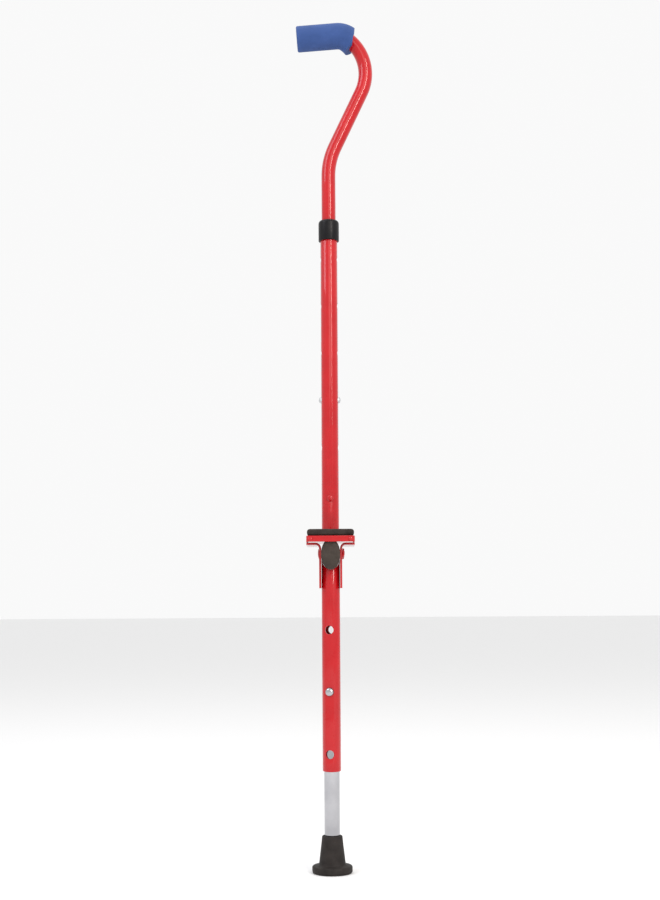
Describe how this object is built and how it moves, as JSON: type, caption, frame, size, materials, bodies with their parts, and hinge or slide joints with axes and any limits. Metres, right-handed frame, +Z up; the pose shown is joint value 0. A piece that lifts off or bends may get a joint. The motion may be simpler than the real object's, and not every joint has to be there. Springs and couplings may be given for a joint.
{
  "type": "walking stilt",
  "caption": "Height-adjustable walking stilt: foot platform and upright pole on a telescoping leg, cane-type crook handle with foam grip.",
  "frame": {"origin": "middle of the rubber tip's sole, where the stilt meets the ground, under the leg's axis", "axes": "+Z up along the leg; +X from the grip's closed end towards the crook; -Y from the pole towards the platform's front edge"},
  "size_m": [0.1018, 0.143, 1.0881],
  "materials": {
    "red_paint": "high-gloss red paint",
    "chrome": "bright chrome plate",
    "steel": "zinc-plated steel",
    "black_rubber": "matt black rubber",
    "black_plastic": "satin moulded black plastic",
    "white_nylon": "natural nylon",
    "blue_foam": "fine-celled blue foam"
  },
  "bodies": {
    "leg": {"rubber_tip": "black_rubber", "tip_washer": "steel", "leg_tube": "chrome", "leg_guide_bushing": "white_nylon", "leg_snap_spring": "steel"},
    "leg_button_front": {"leg_button_front": "chrome"},
    "leg_button_back": {"leg_button_back": "chrome"},
    "frame": {"leg_sleeve": "red_paint", "foot_beam": "red_paint", "beam_front_plug": "black_plastic", "beam_rear_plug": "black_plastic", "beam_spacer": "steel", "right_gusset": "red_paint", "left_gusset": "red_paint", "platform_plate": "red_paint", "platform_pad": "black_rubber", "front_bracket_bolt": "red_paint", "front_bracket_nut": "red_paint", "rear_bracket_bolt": "red_paint", "rear_bracket_nut": "red_paint", "front_platform_screw": "steel", "rear_platform_screw": "steel", "left_rim_rivet": "red_paint", "right_rim_rivet": "red_paint", "pole_tube": "red_paint", "pole_spigot": "steel", "spigot_rivet": "red_paint", "pole_bolt": "steel", "split_bushing": "white_nylon"},
    "collar": {"lock_collar": "black_plastic"},
    "handle": {"handle_tube": "red_paint", "foam_grip": "blue_foam", "handle_end_plug": "black_plastic", "handle_snap_spring": "steel"},
    "handle_button_left": {"handle_button_left": "steel"},
    "handle_button_right": {"handle_button_right": "steel"}
  },
  "joints": [
    {"name": "leg_slide", "type": "slide", "parent": "leg", "child": "frame", "axis": [0, 0, 1], "range_m": [-0.0735, 0.0735], "deforming": ["leg_snap_spring", "leg_button_front", "leg_button_back"]},
    {"name": "leg_button_front_press", "type": "slide", "parent": "leg", "child": "leg_button_front", "axis": [0.2079, 0.9781, 0], "range_m": [0, 0.0044], "stiffness_N_per_m": 800, "deforming": ["leg_snap_spring"]},
    {"name": "leg_button_back_press", "type": "slide", "parent": "leg", "child": "leg_button_back", "axis": [-0.2079, -0.9781, 0], "range_m": [0, 0.0044], "stiffness_N_per_m": 800, "deforming": ["leg_snap_spring"]},
    {"name": "lock_collar_turn", "type": "hinge", "parent": "frame", "child": "collar", "pos_m": [0, 0.072, 0.8], "axis": [0, 0, 1], "range_deg": [0, 180]},
    {"name": "handle_slide", "type": "slide", "parent": "frame", "child": "handle", "axis": [0, 0, 1], "range_m": [-0.062, 0.186], "deforming": ["handle_snap_spring", "handle_button_left", "handle_button_right"]},
    {"name": "handle_button_left_press", "type": "slide", "parent": "handle", "child": "handle_button_left", "axis": [1, 0, 0], "range_m": [0, 0.0044], "stiffness_N_per_m": 800, "deforming": ["handle_snap_spring"]},
    {"name": "handle_button_right_press", "type": "slide", "parent": "handle", "child": "handle_button_right", "axis": [-1, 0, 0], "range_m": [0, 0.0044], "stiffness_N_per_m": 800, "deforming": ["handle_snap_spring"]}
  ]
}
